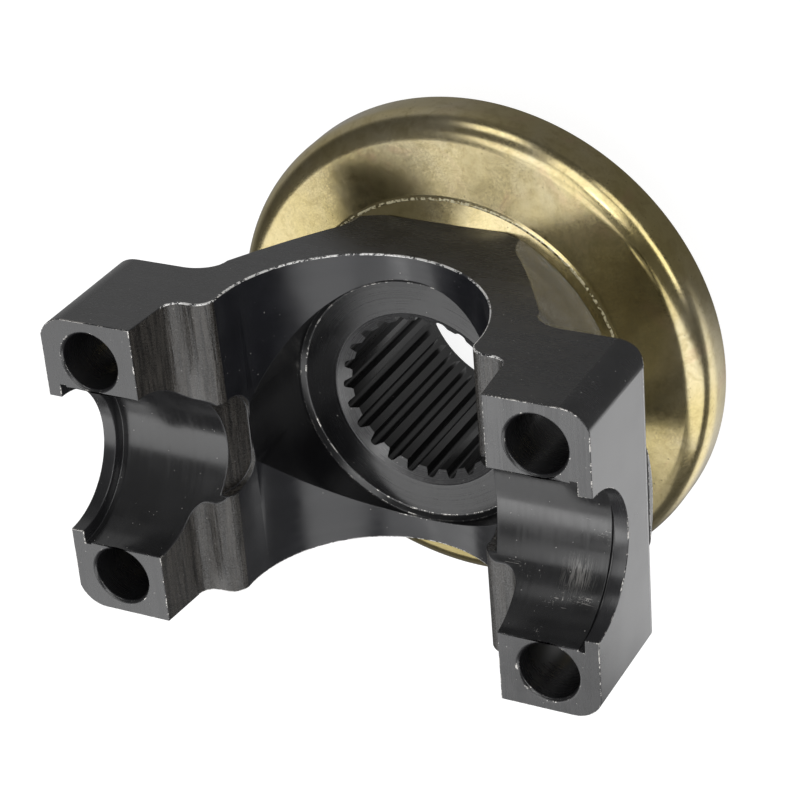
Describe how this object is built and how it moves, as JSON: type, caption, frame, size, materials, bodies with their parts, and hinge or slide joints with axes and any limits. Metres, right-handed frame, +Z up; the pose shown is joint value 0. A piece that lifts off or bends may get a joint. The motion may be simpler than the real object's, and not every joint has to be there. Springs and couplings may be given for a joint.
{
  "type": "forged yoke",
  "caption": "Forged end yoke for a driveshaft joint, with half-round cap saddles, U-bolt holes, a splined hub and a pressed-on dust shield.",
  "frame": {"origin": "centre of the bore at the hub's end face, which the part stands on", "axes": "+Z up the bore towards the ears, +X along the bearing caps' axis, +Y across the milled sides"},
  "size_m": [0.097, 0.0914, 0.076],
  "materials": {
    "black_forging": "satin black paint over forged and milled steel, worn at the edges",
    "yellow_plating": "yellow chromate over zinc plating on pressed sheet steel"
  },
  "bodies": {
    "root": {"yoke": "black_forging", "dust_shield": "yellow_plating"}
  },
  "joints": []
}
